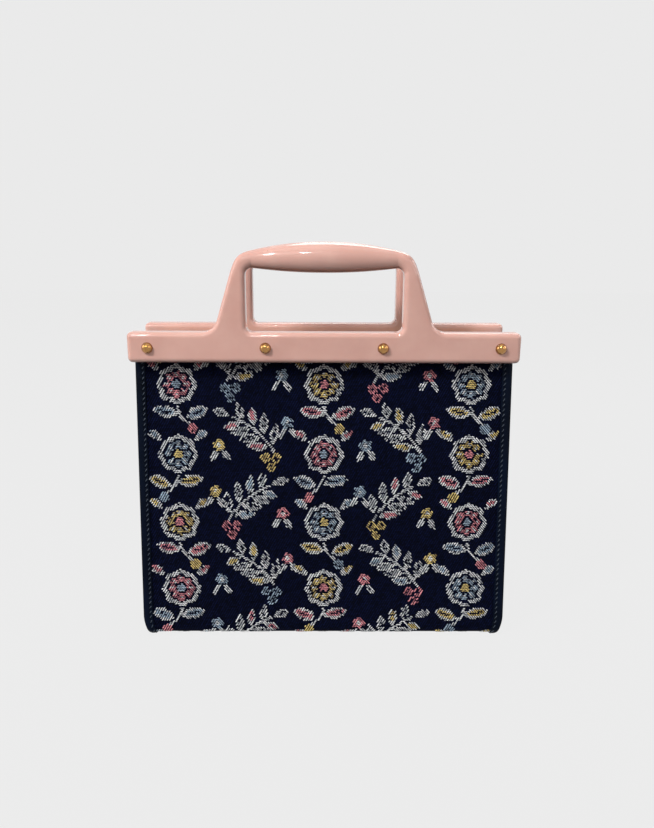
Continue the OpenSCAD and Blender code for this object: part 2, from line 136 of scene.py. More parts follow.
def lamp(name, place, aim, size, watts):
    """A flat lamp at a place, turned towards a point."""
    data = bpy.data.lights.new(name, "AREA")
    data.shape = "RECTANGLE"
    data.size, data.size_y = size
    data.energy = watts
    obj = bpy.data.objects.new(name, data)
    back = np.array(place) - np.array(aim)
    back = back / np.linalg.norm(back)
    right = np.cross((0, 0, 1), back)
    right /= np.linalg.norm(right)
    up = np.cross(back, right)
    obj.matrix_world = Matrix([[right[i], up[i], back[i], place[i]] for i in range(3)]
                              + [[0, 0, 0, 1]])
    scene.collection.objects.link(obj)
    return obj


# The key lamp and the front softbox light the bag but leave no large white patch on the
# polished resin. Two small ceiling lamps give only the sharp glints.
key = lamp("key_lamp", (-0.85, -0.80, 1.15), (0, 0, 0.15), (0.25, 0.25), 17.8)
front = lamp("front_softbox", (-0.15, -1.30, 0.90), (0, 0, 0.15), (1.2, 0.8), 7)
key.visible_glossy = front.visible_glossy = False
for name, x, y, watts in (("left", -0.52, -1.05, 10), ("right", -0.17, -1.15, 8)):
    glint = lamp(name + "_ceiling_lamp", (x, y, 1.24), (0, 0, 0.2), (0.09, 0.10), watts)
    glint.visible_diffuse = False
lamp("top_softbox", (0.05, -0.15, 1.30), (0, 0, 0.2), (0.9, 0.5), 1.0)
lamp("fill_softbox", (1.00, -0.85, 0.80), (0, 0, 0.15), (0.5, 0.7), 2.6)
lamp("back_softbox", (0.30, 0.95, 1.25), (0, 0, 0.12), (1.0, 0.6), 8.5)
lamp("left_side_softbox", (-1.10, -0.30, 0.60), (0, 0, 0.15), (0.35, 0.7), 3.5)
lamp("right_side_softbox", (1.15, 0.15, 0.70), (0, 0, 0.12), (0.6, 0.6), 5)

# The lens and place come from a fit of the camera to the corners of the frames and the body
SENSOR, LENS_PIXELS, PICTURE_PIXELS = 36, 708.3, 828
CAMERA_AT = (-0.00096, -0.49042, 0.27842)
HEADING, DIP, ROLL = -0.361, 14.368, 0.254

camera = bpy.data.objects.new("camera", bpy.data.cameras.new("camera"))
camera.data.sensor_fit = "VERTICAL"
camera.data.sensor_height = SENSOR
camera.data.lens = SENSOR * LENS_PIXELS / PICTURE_PIXELS
camera.data.clip_start = 0.02
camera.matrix_world = (Matrix.Translation(CAMERA_AT)
                       @ Matrix.Rotation(math.radians(HEADING), 4, "Z")
                       @ Matrix.Rotation(math.radians(90 - DIP), 4, "X")
                       @ Matrix.Rotation(math.radians(ROLL), 4, "Z"))
scene.collection.objects.link(camera)
scene.camera = camera


# Handle frames
# Two equal mouldings in pink cast resin, polished all over. Each is one piece: a bar with
# rounded edges, two uprights that taper towards the top, and a barrel-shaped grip.

BAR_W, BAR_H, BAR_T, BAR_Z = 258.4, 20.0, 13.0, 195.0
BAR_TOP = BAR_Z + BAR_H
STUD_Z = BAR_Z + BAR_H / 2
FRAME_Y = 25.0
EDGE_R = 3.2
OPENING_W, OPENING_H, OPENING_R = 102.5, 41.2, 4.5
FOOT_W, SHOULDER_W = 145.0, 122.4
FOOT_R, FOOT_INNER_R, FOOT_INSET = 7.0, 4.0, 5.0
GRIP_D, GRIP_END_D, GRIP_RISE, FULLNESS = 19.0, 11.2, 0.9, 2.1
SHOULDER_ROUND = 5  # a higher power would leave the shoulder squarer
TURN_X, TURN_Z = OPENING_W / 2 - OPENING_R, BAR_TOP + OPENING_H - OPENING_R
UPRIGHT_LAP, SHOULDER_LAP, GRIP_LAP = 2.0, (1.0, 3.0), 3.0  # how far each runs into the next


def blend(a, b, t):
    return a + (b - a) * t


def round_box(u, v, half_u, half_v, r):
    """Distance to a rectangle with round corners."""
    a, b = np.abs(u) - half_u + r, np.abs(v) - half_v + r
    return np.hypot(np.maximum(a, 0), np.maximum(b, 0)) + np.minimum(np.maximum(a, b), 0) - r


def frame_distance(x, y, z):
    """Distance to the handle frame's skin, in mm, with y from the frame's middle plane."""
    x = np.abs(x)
    # The flat part is drawn in front view, with fillets at the feet, and gets round edges
    bar = round_box(x, z - STUD_Z, BAR_W / 2, BAR_H / 2, EDGE_R)
    lean = np.array([TURN_Z - BAR_TOP, (FOOT_W - SHOULDER_W) / 2])
    lean /= np.linalg.norm(lean)
    outer_side = (x - FOOT_W / 2) * lean[0] + (z - BAR_TOP) * lean[1]
    upright = np.maximum(np.maximum(OPENING_W / 2 - x, outer_side),
                         np.maximum(STUD_Z - z, z - TURN_Z - UPRIGHT_LAP))
    r = np.interp(x, (OPENING_W / 2 + FOOT_INSET, FOOT_W / 2 - FOOT_INSET),
                  (FOOT_INNER_R, FOOT_R))
    outline = np.maximum(r, np.minimum(bar, upright)) \
        - np.hypot(np.maximum(r - bar, 0), np.maximum(r - upright, 0))
    a, b = outline + EDGE_R, np.abs(y) - BAR_T / 2 + EDGE_R
    flat = np.hypot(np.maximum(a, 0), np.maximum(b, 0)) + np.minimum(np.maximum(a, b), 0) - EDGE_R
    # The shoulder turns from the upright's section to the grip's round one
    u, v = x - TURN_X, z - TURN_Z
    turn = np.arctan2(np.maximum(v, 0), np.maximum(u, 1e-6)) / (math.pi / 2)
    out = np.where(v < 0, u, np.where(u < 0, v, np.hypot(u, v)))
    lean_in = (FOOT_W - SHOULDER_W) / 2 / (TURN_Z - BAR_TOP)
    fall = (GRIP_D - GRIP_END_D + 2 * GRIP_RISE) / 2 * FULLNESS / TURN_X
    c, s = np.cos(turn * math.pi / 2), np.sin(turn * math.pi / 2)
    side = (SHOULDER_W / 2 - TURN_X) / (c + lean_in * s)
    top = (OPENING_R + GRIP_END_D) / (s + fall * c)
    reach = (side ** -SHOULDER_ROUND + top ** -SHOULDER_ROUND) ** (-1 / SHOULDER_ROUND)
    half_reach = (reach - OPENING_R) / 2
    shoulder = round_box(out - (reach + OPENING_R) / 2, y, half_reach,
                         blend(BAR_T / 2, GRIP_END_D / 2, turn),
                         np.minimum(blend(EDGE_R, GRIP_END_D / 2, turn), half_reach))
    shoulder = np.maximum(shoulder, np.maximum(-u - SHOULDER_LAP[0], -v - SHOULDER_LAP[1]))
    # The grip is turned about an axis that rises a little towards the middle
    swell = 1 - (x / TURN_X) ** FULLNESS
    axis = BAR_TOP + OPENING_H + GRIP_END_D / 2 + GRIP_RISE * swell
    grip = np.hypot(y, z - axis) - blend(GRIP_END_D, GRIP_D, swell) / 2
    grip = np.maximum(grip, x - TURN_X - GRIP_LAP)
    return np.minimum(flat, np.minimum(shoulder, grip))


def slope_of(distance, points, half_step):
    """How fast a distance grows along x, y and z at each point, over twice the half step."""
    return np.stack([distance(*(points + e).T) - distance(*(points - e).T)
                     for e in np.eye(3) * half_step], 1)


def skin(distance, low, high, step):
    """Points, quads and smooth normals of the surface where a distance is nought."""
    axes = [np.arange(a, b + step, step) for a, b in zip(low, high)]
    inside = distance(axes[0][:, None, None], axes[1][None, :, None], axes[2][None, None, :]) < 0
    nx, ny, nz = (len(axis) - 1 for axis in axes)
    count = sum(inside[i:nx + i, j:ny + j, k:nz + k].astype(np.int8)
                for i in (0, 1) for j in (0, 1) for k in (0, 1))
    cells = np.argwhere((count > 0) & (count < 8))
    number = np.full(count.shape, -1)
    number[tuple(cells.T)] = np.arange(len(cells))
    # One point in each cell that the skin passes, drawn onto the skin in six rounds
    points = np.stack([axes[i][cells[:, i]] + step / 2 for i in range(3)], 1)
    for _ in range(6):
        d = distance(*points.T)
        slope = slope_of(distance, points, 0.05) / 0.1
        points -= slope * (d / np.maximum((slope ** 2).sum(1), 0.2))[:, None]
    quads = []
    for axis in range(3):
        first = np.take(inside, range(inside.shape[axis] - 1), axis)
        second = np.take(inside, range(1, inside.shape[axis]), axis)
        b, c = (axis + 1) % 3, (axis + 2) % 3
        for sign in (1, -1):
            at = np.argwhere(first & ~second if sign > 0 else ~first & second)
            ring = []
            for db, dc in ((-1, -1), (0, -1), (0, 0), (-1, 0)):
                cell = at.copy()
                cell[:, b] += db
                cell[:, c] += dc
                ring.append(number[tuple(cell.T)])
            quads.append(np.stack(ring[::sign], 1))
    # Normals from the distance over 0.8 mm, so that the polished face has no facets
    slope = slope_of(distance, points, 0.4)
    return points, np.concatenate(quads), slope / np.linalg.norm(slope, axis=1)[:, None]


def piece(name, points, faces, material, slot, sharp=None):
    """A mesh in mm as a piece of the bag. sharp is the angle in degrees of its hard edges."""
    mesh = bpy.data.meshes.new(name)
    mesh.from_pydata((np.asarray(points) * 0.001).tolist(), [],
                     faces.tolist() if isinstance(faces, np.ndarray) else faces)
    mesh.polygons.foreach_set("use_smooth", [True] * len(mesh.polygons))
    if sharp:
        mesh.set_sharp_from_angle(angle=math.radians(sharp))
    mesh.materials.append(material)
    mesh.validate()
    obj = bpy.data.objects.new(name, mesh)
    scene.collection.objects.link(obj)
    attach(obj, "root")
    return obj


def per_metre(mm):
    """A pattern's scale from its real size in millimetres."""
    return 1000 / mm


# Cast resin, polished: even and slightly milky, with faint clouds about 25 mm across and a
# few dark specks under the surface. A clear hard skin carries the polish and its glints.
CLOUD, SPECK_GAP, POLISH_MARK = 25.0, 9.1, 3.85
SPECK_SIZE, SPECK_SHARE, SPECK_DEPTH = 0.045, 0.12, 0.55

resin, tree, face, place = new_material("pink_cast_resin", {
    "IOR": 1.5, "Specular IOR Level": 0.05, "Coat Weight": 0.75, "Coat Roughness": 0.04,
    "Subsurface Weight": 0.12, "Subsurface Radius": (0.004, 0.002, 0.0015),
    "Subsurface Scale": 0.6})
clouds = add(tree, "ShaderNodeTexNoise", values={"Scale": per_metre(CLOUD), "Detail": 3.0},
             links={"Vector": place})
spread = add(tree, "ShaderNodeMapRange", values={"From Min": 0.35, "From Max": 0.68},
             links={"Value": clouds.outputs["Fac"]})
tone = add(tree, "ShaderNodeMix", data_type="RGBA", links={0: spread.outputs[0]},
           values={TONE_A: linear("#cf9f92"), TONE_B: linear("#d8aa9d")})
specks = add(tree, "ShaderNodeTexVoronoi", values={"Scale": per_metre(SPECK_GAP)},
             links={"Vector": place})
tiny = add(tree, "ShaderNodeMath", operation="LESS_THAN", values={1: SPECK_SIZE},
           links={0: specks.outputs["Distance"]})
rare = add(tree, "ShaderNodeSeparateColor", links={"Color": specks.outputs["Color"]})
few = add(tree, "ShaderNodeMath", operation="LESS_THAN", values={1: SPECK_SHARE},
          links={0: rare.outputs[0]})
dark = add(tree, "ShaderNodeMath", operation="MULTIPLY",
           links={0: tiny.outputs[0], 1: few.outputs[0]})
faint = add(tree, "ShaderNodeMath", operation="MULTIPLY", values={1: SPECK_DEPTH},
            links={0: dark.outputs[0]})
tint = add(tree, "ShaderNodeMix", data_type="RGBA", values={TONE_B: linear("#8d5f56")},
           links={0: faint.outputs[0], TONE_A: tone.outputs[MIXED]})
tree.links.new(tint.outputs[MIXED], face.inputs["Base Color"])
marks = add(tree, "ShaderNodeTexNoise", values={"Scale": per_metre(POLISH_MARK), "Detail": 4.0},
            links={"Vector": place})
gloss = add(tree, "ShaderNodeMapRange", values={"To Min": 0.2, "To Max": 0.3},
            links={"Value": marks.outputs["Fac"]})
tree.links.new(gloss.outputs[0], face.inputs["Roughness"])

CELL = 0.9
GRID_LOW, GRID_HIGH = (-132.3, -11.7, 192.9), (132.3, 11.7, 275.2)
frame_points, frame_quads, frame_normals = skin(frame_distance, GRID_LOW, GRID_HIGH, CELL)
for side, y in (("front", -FRAME_Y), ("back", FRAME_Y)):
    moulding = piece(f"{side}_handle_moulding", frame_points + (0, y, 0), frame_quads,
                     resin, "rose_resin")
    moulding.data.normals_split_custom_set_from_vertices(frame_normals.tolist())
    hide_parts(f"{side}_frame")


# Studs
# Solid brass domes, turned and polished, four along each bar. Each has a post that goes
# through the frame, the cloth and the lining, and a screw holds it from inside.

STUD_R, STUD_RISE, STUD_RIM = 3.8, 3.3, 0.15
POST_R, POST_L = 2.0, 16.0
STUD_SPAN = 231.6
STUD_XS = [STUD_SPAN * (i / 3 - 0.5) for i in range(4)]
FACE_Y = FRAME_Y + BAR_T / 2
CLOTH_Y = FRAME_Y - BAR_T / 2


def turned(profile, segments):
    """Points and faces of a turned shape, from (radius, height) pairs with ends on the axis."""
    angle = np.arange(segments) * 2 * math.pi / segments
    rings = [np.stack([r * np.cos(angle), r * np.sin(angle), np.full(segments, h)], 1)
             for r, h in profile[1:-1]]
    points = np.concatenate([[(0, 0, profile[0][1])]] + rings + [[(0, 0, profile[-1][1])]])
    last = len(points) - 1
    around = [(j, (j + 1) % segments) for j in range(segments)]
    faces = [(0, 1 + k, 1 + j) for j, k in around]
    for i in range(len(rings) - 1):
        a = 1 + i * segments
        faces += [(a + j, a + k, a + k + segments, a + j + segments) for j, k in around]
    a = 1 + (len(rings) - 1) * segments
    faces += [(a + j, a + k, last) for j, k in around]
    return points, faces


def finish_node(name, material):
    """Gives a CAD node that keeps its own shape the finish of its material."""
    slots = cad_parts[name].data.materials
    slots.clear()
    slots.append(material)


# Polished brass: deep warm yellow with hairlines left by the polishing wheel, drawn 1.1 mm
# wide so that they show, under a clear lacquer that gives white glints
HAIRLINE = 1.11

brass, tree, face, place = new_material("polished_brass", {
    "Metallic": 1.0, "Coat Weight": 1.0, "Coat Roughness": 0.05})
wear = add(tree, "ShaderNodeTexNoise", values={"Scale": per_metre(HAIRLINE), "Detail": 5.0},
           links={"Vector": place})
tone = add(tree, "ShaderNodeMix", data_type="RGBA", links={0: wear.outputs["Fac"]},
           values={TONE_A: linear("#7c4f1e"), TONE_B: linear("#c8934a")})
tree.links.new(tone.outputs[MIXED], face.inputs["Base Color"])
gloss = add(tree, "ShaderNodeMapRange", values={"To Min": 0.10, "To Max": 0.26},
            links={"Value": wear.outputs["Fac"]})
tree.links.new(gloss.outputs[0], face.inputs["Roughness"])

DOME_RINGS, DOME_SIDES = 20, 56
dome_r = (STUD_R ** 2 + STUD_RISE ** 2) / (2 * STUD_RISE)
sweep = math.asin(min(1, STUD_R / dome_r))
profile = [(0, STUD_RISE)]
for i in range(1, DOME_RINGS):
    a = sweep * i / DOME_RINGS
    profile.append((dome_r * math.sin(a), STUD_RISE - dome_r * (1 - math.cos(a))))
profile += [(STUD_R, STUD_RIM), (STUD_R - STUD_RIM, 0), (POST_R, 0), (POST_R, -POST_L),
            (0, -POST_L)]
dome_points, dome_faces = turned(profile, DOME_SIDES)
for side, sign in (("front", -1), ("back", 1)):
    points, faces = [], []
    for x in STUD_XS:
        faces += [tuple(i + len(points) * len(dome_points) for i in f) for f in dome_faces]
        # The dome's axis points out of the bar's face
        points.append(np.stack([x - sign * dome_points[:, 0],
                                sign * (FACE_Y + dome_points[:, 2]),
                                STUD_Z + dome_points[:, 1]], 1))
    heads = piece(f"{side}_stud_domes", np.concatenate(points), faces, brass,
                  "polished_brass", sharp=50)
    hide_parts(f"{side}_studs")
    finish_node(f"{side}_stud_screws", brass)


# Clamp bars
# Flat brass bars inside the mouth, drawn through a die and left satin. They press the
# cloth and the lining against the frames.

# Satin brass: dull yellow, with long fine lines from the die along the bar, about 1 mm wide
# so that they show
DIE_LINE = (66.7, 1.11, 0.714)

satin, tree, face, place = new_material("drawn_satin_brass", {"Metallic": 1.0})
along = add(tree, "ShaderNodeMapping", values={"Scale": [per_metre(mm) for mm in DIE_LINE]},
            links={"Vector": place})
lines = add(tree, "ShaderNodeTexNoise", values={"Scale": 1.0, "Detail": 3.0},
            links={"Vector": along.outputs["Vector"]})
tone = add(tree, "ShaderNodeMix", data_type="RGBA", links={0: lines.outputs["Fac"]},
           values={TONE_A: linear("#9a7a3e"), TONE_B: linear("#c9a660")})
tree.links.new(tone.outputs[MIXED], face.inputs["Base Color"])
gloss = add(tree, "ShaderNodeMapRange", values={"To Min": 0.3, "To Max": 0.5},
            links={"Value": lines.outputs["Fac"]})
tree.links.new(gloss.outputs[0], face.inputs["Roughness"])
for side in ("front", "back"):
    finish_node(f"{side}_clamp_bar", satin)


# Jacquard body
# One length of heavy jacquard, navy and nearly black: front, base and back. It is held
# in the frames at the top, and its side edges are stitched under leather.

BODY_W, BASE_D, BEND_R, CLOTH_T = 254.0, 81.0, 5.0, 1.2
LEATHER_T, BOARD_T, LINING_T = 1.2, 2.0, 0.6
DRAW_IN, DRAW_H = 5.0, 16.0
ABOVE_STUDS = 4.5
BASE_Z = LEATHER_T
CLOTH_TOP = STUD_Z + ABOVE_STUDS
LEAN = math.atan((BASE_D / 2 - CLOTH_Y) / (BAR_Z - BASE_Z))


def bend_centre(lift):
    """Depth and height of the axis that the cloth bends about above the floor."""
    z = BASE_Z + lift + BEND_R
    run = (BAR_Z - BEND_R * math.sin(LEAN) - z) / math.cos(LEAN)
    return CLOTH_Y + run * math.sin(LEAN) - BEND_R * math.cos(LEAN), z


def run_lengths(lift):
    """Lengths of the upright part, the leaning panel, the bend and half the base."""
    c = bend_centre(lift)
    panel = (BAR_Z - c[1] - BEND_R * math.sin(LEAN)) / math.cos(LEAN)
    return CLOTH_TOP - BAR_Z, panel, BEND_R * (math.pi / 2 + LEAN), c[0]


def around_bag(s, lift=0.0):
    """Depth, height and outward normal at a length s along the cloth.

    The length runs from the front's top edge, under the base, to the back's top edge.
    """
    s = np.asarray(s, float)
    parts = np.cumsum((0,) + run_lengths(lift))
    c = bend_centre(lift)
    back = s > parts[4]
    t = np.where(back, 2 * parts[4] - s, s)
    down = np.clip(t, parts[0], parts[1])
    slope = np.clip(t - parts[1], 0, parts[2] - parts[1])
    turn = -LEAN + (np.pi / 2 + LEAN) * np.clip((t - parts[2]) / (parts[3] - parts[2]), 0, 1)
    under = np.clip(t - parts[3], 0, None)
    straight = t <= parts[2]
    y = np.where(straight, CLOTH_Y + slope * math.sin(LEAN),
                 c[0] + BEND_R * np.cos(turn) - under)
    z = np.where(straight, CLOTH_TOP - down - slope * math.cos(LEAN),
                 c[1] - BEND_R * np.sin(turn))
    lean = np.where(t < parts[1], 0.0, -LEAN)
    ny = np.where(straight, np.cos(lean), np.cos(turn))
    nz = np.where(straight, -np.sin(lean), -np.sin(turn))
    sign = np.where(back, 1, -1)
    return y * sign, z, ny * sign, nz


def edge_x(half, reach, z):
    """Half the width at a height: the side edges draw in on an arc near the floor."""
    r = (DRAW_H ** 2 + reach ** 2) / (2 * reach)
    arc = half - r + np.sqrt(np.maximum(r * r - (DRAW_H - z) ** 2, 0))
    return np.where(z >= DRAW_H, half, arc)


HALF_RUN = sum(run_lengths(0))
SEAM_HOLD, SLACK = 8.0, 0.9  # the seams hold the cloth flat this far in, and its mean slack


def slack(x, s):
    """How far the soft cloth stands off its flat panel.

    It is flat at the frame, the seams and the bend, with low uneven waves between.
    """
    t = np.where(s > HALF_RUN, 2 * HALF_RUN - s, s) - run_lengths(0)[0]
    u, v = x / (BODY_W / 2 - SEAM_HOLD), np.clip(t / run_lengths(0)[1], 0, 1)
    hold = np.clip(1 - u ** 4, 0, 1) * np.sin(math.pi * v) ** 1.2
    wave = (0.55 * np.sin(2.1 * u + 1.3) * np.cos(2.6 * v - 0.4)
            + 0.35 * np.sin(4.3 * u - 2.2 * v + 0.8))
    return hold * (SLACK + wave)


def on_bag(x, s, out):
    """Points at a distance out from the cloth's face, which follow the cloth's slack."""
    y, z, ny, nz = around_bag(s)
    d = out + slack(x, s)
    return np.stack([x, y + ny * d, z + nz * d], -1)


def net(at, flip=False):
    """Quads over a grid of point numbers, facing the other way if flipped."""
    quads = np.stack([at[:-1, :-1], at[1:, :-1], at[1:, 1:], at[:-1, 1:]], -1).reshape(-1, 4)
    return np.roll(quads[:, ::-1], 1, axis=1) if flip else quads


def ribbon(a, b):
    """Quads between two rows of point numbers."""
    return np.stack([a[:-1], a[1:], b[1:], b[:-1]], -1)


def shell(outer, inner):
    """Points and quads of a closed sheet between two grids of points."""
    n, m = outer.shape[:2]
    at = np.arange(n * m).reshape(n, m)
    far = at + n * m
    quads = [net(at), net(far, flip=True), ribbon(at[0], far[0]), ribbon(at[:, -1], far[:, -1]),
             ribbon(at[-1, ::-1], far[-1, ::-1]), ribbon(at[::-1, 0], far[::-1, 0])]
    return np.concatenate([outer.reshape(-1, 3), inner.reshape(-1, 3)]), np.concatenate(quads)


def lay_uv(obj, across, along):
    """A UV map in millimetres of cloth, from one value of each kind per point."""
    layer = obj.data.uv_layers.new(name="UVMap")
    index = np.empty(len(obj.data.loops), np.int32)
    obj.data.loops.foreach_get("vertex_index", index)
    layer.data.foreach_set("uv", np.stack([across, along], 1)[index].ravel())


# Twill-backed ground: short slanted warp floats in navy, matt, with a little sheen. Each
# float's colour has painted shade: nearly black at its rim and in the gaps, navy on top.
# Rows lie 1.2 mm apart and floats 1.7 mm apart, the same as the coloured yarns.
ROW, PITCH, STEP, SLANT = 1.2, 1.7, 0.65, math.radians(38)
GROUND_FLOAT = (1.1, 0.5, 1.0)  # half the length and half the width of a float of the ground
FADE, FUZZ = 71.4, 0.385


def weave_height(tree, uv):
    """Sockets of a float's rounded height and of a random value for each float."""
    part = add(tree, "ShaderNodeSeparateXYZ", links={0: uv})
    rows = add(tree, "ShaderNodeMath", operation="DIVIDE", values={1: ROW},
               links={0: part.outputs[1]})
    row = add(tree, "ShaderNodeMath", operation="FLOOR", links={0: rows.outputs[0]})
    moved = add(tree, "ShaderNodeMath", operation="MULTIPLY_ADD", values={1: STEP},
                links={0: row.outputs[0], 2: part.outputs[0]})
    places = add(tree, "ShaderNodeMath", operation="DIVIDE", values={1: PITCH},
                 links={0: moved.outputs[0]})
    place = add(tree, "ShaderNodeMath", operation="FLOOR", links={0: places.outputs[0]})
    middle = []
    for count, gap in ((places, PITCH), (rows, ROW)):
        share = add(tree, "ShaderNodeMath", operation="FRACT", links={0: count.outputs[0]})
        middle.append(add(tree, "ShaderNodeMath", operation="MULTIPLY_ADD",
                          values={1: gap, 2: -gap / 2}, links={0: share.outputs[0]}))
    pair = add(tree, "ShaderNodeCombineXYZ",
               links={0: middle[0].outputs[0], 1: middle[1].outputs[0]})
    # Slanted axes of a float, scaled so that its rim lies at a distance of 1
    slanted = add(tree, "ShaderNodeVectorRotate", rotation_type="Z_AXIS",
                  values={"Angle": SLANT}, links={"Vector": pair.outputs[0]})
    scaled = add(tree, "ShaderNodeVectorMath", operation="DIVIDE", values={1: GROUND_FLOAT},
                 links={0: slanted.outputs[0]})
    far = add(tree, "ShaderNodeVectorMath", operation="DOT_PRODUCT",
              links={0: scaled.outputs[0], 1: scaled.outputs[0]})
    high = add(tree, "ShaderNodeMath", operation="SUBTRACT", values={0: 1.0}, use_clamp=True,
               links={1: far.outputs["Value"]})
    cell = add(tree, "ShaderNodeCombineXYZ", links={0: place.outputs[0], 1: row.outputs[0]})
    chance = add(tree, "ShaderNodeTexWhiteNoise", noise_dimensions="2D",
                 links={"Vector": cell.outputs[0]})
    return high.outputs[0], chance.outputs["Value"]


ground, tree, face, place = new_material("navy_jacquard_ground", {
    "Roughness": 0.85, "Specular IOR Level": 0.04, "Sheen Weight": 0.02,
    "Sheen Tint": linear("#7f8fb5")})
uv = add(tree, "ShaderNodeUVMap", uv_map="UVMap")
high, own_shade = weave_height(tree, uv.outputs["UV"])
# Painted shade: nearly black at each float's rim and in the gaps between floats, navy on top
deep = add(tree, "ShaderNodeMix", data_type="RGBA", links={0: high},
           values={TONE_A: linear("#020308"), TONE_B: linear("#0b1130")})
fade = add(tree, "ShaderNodeTexNoise", values={"Scale": per_metre(FADE), "Detail": 2.0},
           links={"Vector": place})
worn = add(tree, "ShaderNodeMapRange", values={"To Min": 0.7, "To Max": 1.2},
           links={"Value": fade.outputs["Fac"]})
uneven = add(tree, "ShaderNodeMath", operation="MULTIPLY_ADD", values={1: 1.1, 2: 0.4},
             links={0: own_shade})
level = add(tree, "ShaderNodeMath", operation="MULTIPLY",
            links={0: uneven.outputs[0], 1: worn.outputs[0]})
shaded = add(tree, "ShaderNodeVectorMath", operation="SCALE",
             links={0: deep.outputs[MIXED], "Scale": level.outputs[0]})
tree.links.new(shaded.outputs[0], face.inputs["Base Color"])
fuzz = add(tree, "ShaderNodeTexNoise", values={"Scale": per_metre(FUZZ), "Detail": 2.0},
           links={"Vector": place})
rise = add(tree, "ShaderNodeMath", operation="MULTIPLY_ADD", values={1: 0.2},
           links={0: fuzz.outputs["Fac"], 2: high})
bump = add(tree, "ShaderNodeBump", values={"Strength": 0.7, "Distance": 0.00035},
           links={"Height": rise.outputs[0]})
tree.links.new(bump.outputs[0], face.inputs["Normal"])

# The cloth as a grid: across between its side edges, and along its run
ACROSS, ALONG = 90, 190
run = np.linspace(0, 2 * HALF_RUN, ALONG)
half_width = edge_x(BODY_W / 2, DRAW_IN, around_bag(run)[1])
cloth_x = np.linspace(-1, 1, ACROSS)[None, :] * half_width[:, None]
cloth_s = np.repeat(run[:, None], ACROSS, 1)
points, quads = shell(on_bag(cloth_x, cloth_s, 0.0), on_bag(cloth_x, cloth_s, -CLOTH_T))
body = piece("jacquard_cloth", points, quads, ground, "navy_jacquard", sharp=50)
lay_uv(body, np.tile(cloth_x.ravel(), 2), np.tile(cloth_s.ravel(), 2))
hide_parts("jacquard_body")


# Woven design
# The jacquard's coloured weft comes to the face only where the design needs it, as short
# slanted floats of yarn. Blossoms stand in every other column, with leaf sprays between.

COLUMN, ROWS = 50.0, 48.0
BLOSSOM_ROW, SPRIG_ROW = 0.45, -0.05  # where the first row stands, as a share of ROWS
BLOSSOM_R, RING_W, HEAD_V = 13.7, 3.1, 5.0
STEM_R, SPRIG_BOW, SPRIG_TURN = 16.0, 60.0, math.radians(36)
STALK = 1.0  # half the width of a blossom's stem
FLORETS = ((-25.0, 3.0), (21.5, -12.5))
BERRIES, BERRY_R = ((-26.5, -7.5), (-20.5, -11.5), (-27.5, -14.5)), 3.3
NONE, IVORY, GOLD, ROSE, SLATE = -1, 0, 1, 2, 3
DIM = 4  # added to a yarn's number where it lies deeper in the cloth and looks darker


def leaf_at(u, v, angle, start, length, width):
    """Depth in an almond leaf, from 0 at its edge to 1 on its vein, and the share of its length."""
    a = math.radians(angle)
    t = ((u - start[0]) * math.cos(a) + (v - start[1]) * math.sin(a)) / length
    off = np.abs((v - start[1]) * math.cos(a) - (u - start[0]) * math.sin(a))
    half = width / 2 * np.sin(math.pi * np.clip(t, 0, 1)) ** 0.8
    return np.where((t > 0) & (t < 1), 1 - off / np.maximum(half, 1e-3), -1.0), t


def blossom(u, v, tint, other):
    """A scalloped blossom on a bent stem, with two leaves and a bud, in mm from its middle."""
    mark = np.full(u.shape, NONE)
    on_stem = np.abs(np.hypot(u - STEM_R, v + 8) - STEM_R) < STALK
    mark[on_stem & (v < -9) & (v > -23) & (u < 12)] = IVORY
    for angle, start, length in ((168, (0.6, -15.4), 18.0), (22, (5.4, -17.6), 17.0)):
        deep, t = leaf_at(u, v, angle, start, length, 8.4)
        mark[deep > 0] = IVORY
        mark[(deep > 0.46) & (t > 0.18) & (t < 0.86)] = other
        mark[(deep > 0.84) & (t > 0.3) & (t < 0.75)] = NONE
    for angle, x in ((38, 11.5), (142, -11.5)):
        deep, t = leaf_at(u, v, angle, (x, 15.0), 11.0, 5.6)
        mark[deep > 0] = IVORY
        mark[(deep > 0.5) & (t > 0.35)] = tint
    mark[np.hypot(u - 10.5, v + 25.5) < 3.6] = tint
    # The head: a scalloped ring, petals inside it and a round heart
    r, turn = np.hypot(u, v - HEAD_V), np.arctan2(v - HEAD_V, u)
    rim = BLOSSOM_R - RING_W / 2 * (1 - np.abs(np.cos(4 * turn)))
    mark[r < rim] = IVORY
    mark[r < rim - RING_W] = NONE
    mark[r < rim - RING_W - 1.1] = tint + DIM
    mark[(r < rim - RING_W - 1.9) & (np.abs(np.sin(4 * turn)) < 0.8)] = tint
    mark[(r > 5.6) & (r < 8.0) & (np.abs(np.cos(4 * turn)) > 0.93)] = IVORY
    mark[r < 4.2] = NONE
    mark[r < 3.0] = other
    return mark


def sprig(u, v, tint, other):
    """A bowed stem with leaves on both sides and three berries under its foot."""
    mark = np.full(u.shape, NONE)
    r = np.hypot(u, v + SPRIG_BOW)
    along = np.arctan2(u, v + SPRIG_BOW) * SPRIG_BOW
    mark[(np.abs(r - SPRIG_BOW) < 0.95) & (along > -24) & (along < 15)] = IVORY
    leaves = [(at, side, length)
              for at, length in ((-19, 15.0), (-10, 15.0), (-1, 13.5), (8, 11.5))
              for side in (1, -1)]
    for i, (at, side, length) in enumerate(leaves + [(16.5, 0, 12.0)]):
        a, out = at / SPRIG_BOW, SPRIG_BOW + 1.5 * side
        foot = (out * math.sin(a), out * math.cos(a) - SPRIG_BOW)
        deep, t = leaf_at(u, v, math.degrees(-a) + 48 * side, foot, length, 6.0)
        mark[deep > 0] = IVORY
        mark[(deep > 0.5) & (t > 0.3) & (t < 0.86)] = other if i % 3 == 1 else IVORY + DIM
    for x, y in BERRIES:
        r = np.hypot(u - x, v - y)
        mark[r < BERRY_R] = tint
        mark[r < BERRY_R - 1.4] = tint + DIM
    return mark


